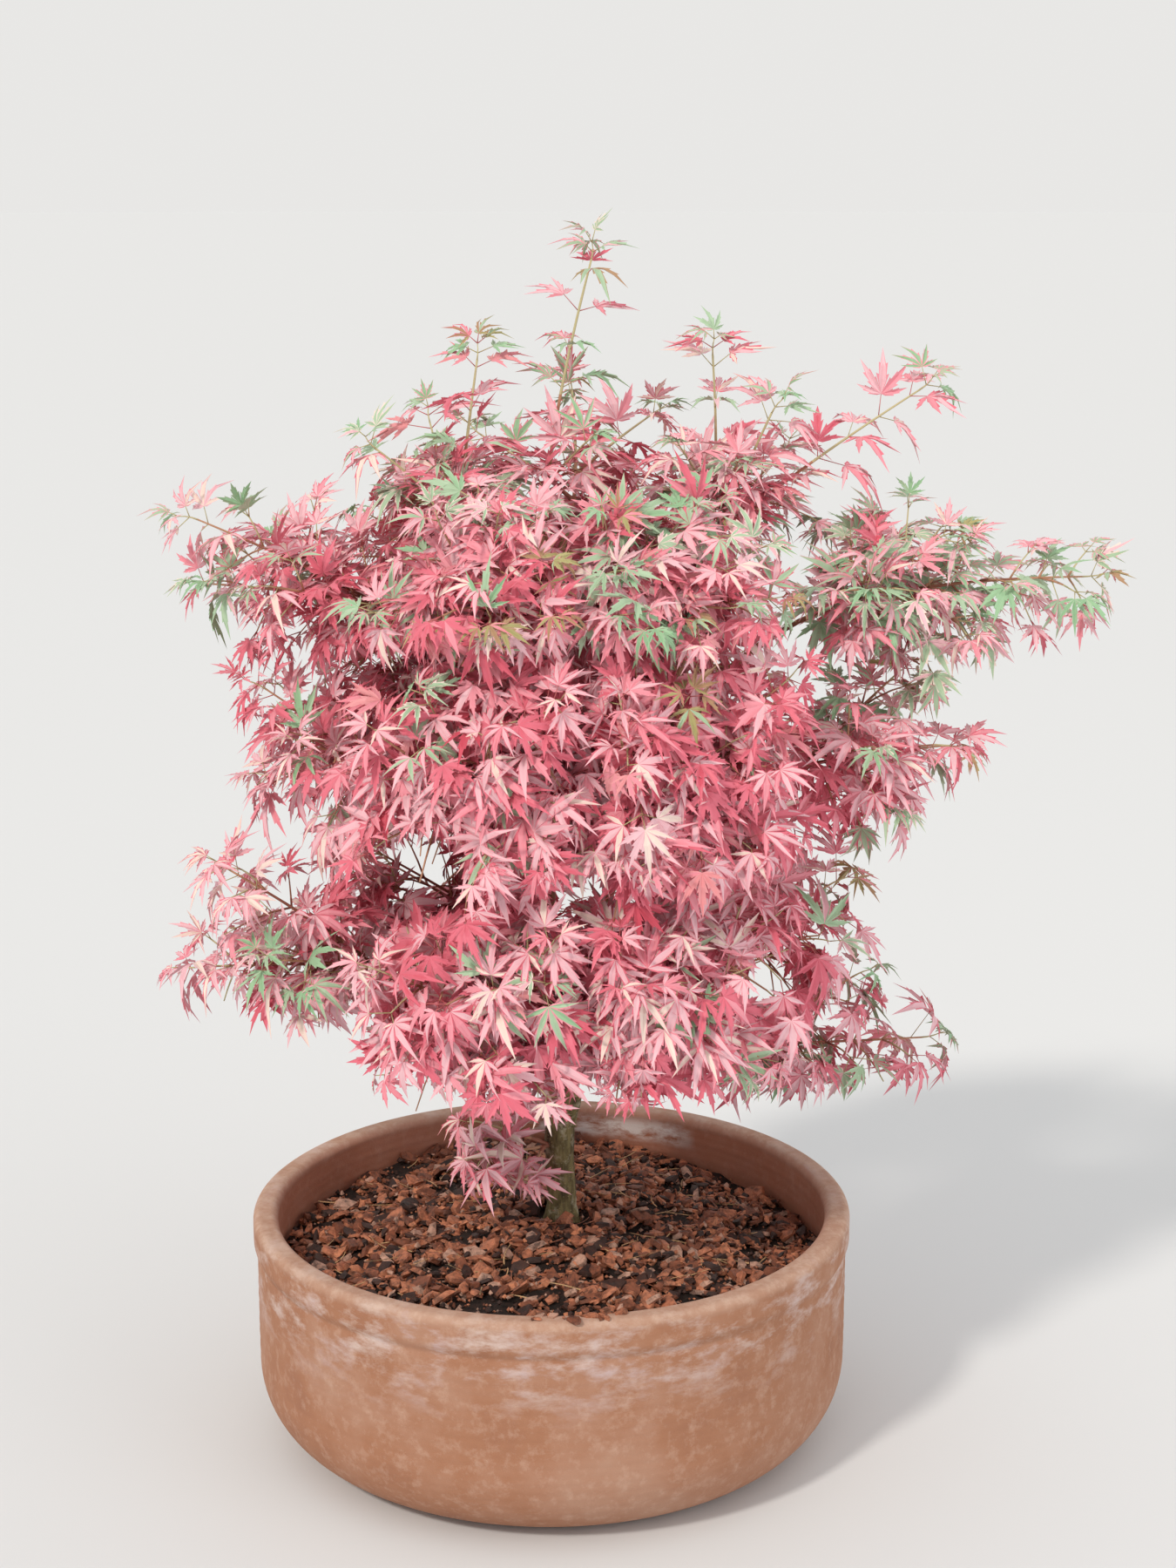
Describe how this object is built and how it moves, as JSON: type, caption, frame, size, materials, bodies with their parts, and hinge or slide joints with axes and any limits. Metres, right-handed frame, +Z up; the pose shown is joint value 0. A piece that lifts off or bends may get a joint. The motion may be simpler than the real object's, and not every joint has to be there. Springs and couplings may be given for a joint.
{
  "type": "potted japanese maple",
  "caption": "Young pink-leaved japanese maple with a rounded crown and spreading arms, in a shallow round terracotta pan topped with bark mulch.",
  "frame": {"origin": "middle of the pan's flat underside", "axes": "+Z up along the trunk, -Y towards the side the picture shows, +X to the picture's right"},
  "size_m": [0.6617, 0.4253, 0.8434],
  "materials": {
    "terracotta": "matte",
    "soil": "matte",
    "bark_chips": "matte",
    "bark": "matte",
    "foliage": "satin"
  },
  "bodies": {
    "root": {"pot": "terracotta", "potting_soil": "soil", "bark_mulch": "bark_chips", "trunk": "bark", "leader": "bark", "second_stem": "bark", "bough_front_left_low": "bark", "bough_front_right_low": "bark", "bough_back_left_low": "bark", "bough_front_left_middle": "bark", "bough_front_right_middle": "bark", "bough_back_right_middle": "bark", "bough_back_left_middle": "bark", "bough_front_left_high": "bark", "bough_front_right_high": "bark", "bough_back_right_high": "bark", "bough_back_left_high": "bark", "bough_left_low": "bark", "bough_left_middle": "bark", "bough_left_high": "bark", "bough_right_low": "bark", "bough_right_middle": "bark", "bough_right_reach": "bark", "bough_back_right_low": "bark", "bough_top_left": "bark", "bough_top_back": "bark", "foliage_front_left_low": "foliage", "foliage_front_right_low": "foliage", "foliage_back_left_low": "foliage", "foliage_front_left_middle": "foliage", "foliage_front_right_middle": "foliage", "foliage_back_right_middle": "foliage", "foliage_back_left_middle": "foliage", "foliage_front_left_high": "foliage", "foliage_front_right_high": "foliage", "foliage_back_right_high": "foliage", "foliage_back_left_high": "foliage", "foliage_left_low": "foliage", "foliage_left_middle": "foliage", "foliage_left_high": "foliage", "foliage_right_low": "foliage", "foliage_right_middle": "foliage", "foliage_right_reach": "foliage", "foliage_back_right_low": "foliage", "foliage_top_left": "foliage", "foliage_top_back": "foliage", "foliage_top_spire": "foliage", "foliage_top_right": "foliage", "foliage_foot_tuft": "foliage"}
  },
  "joints": []
}
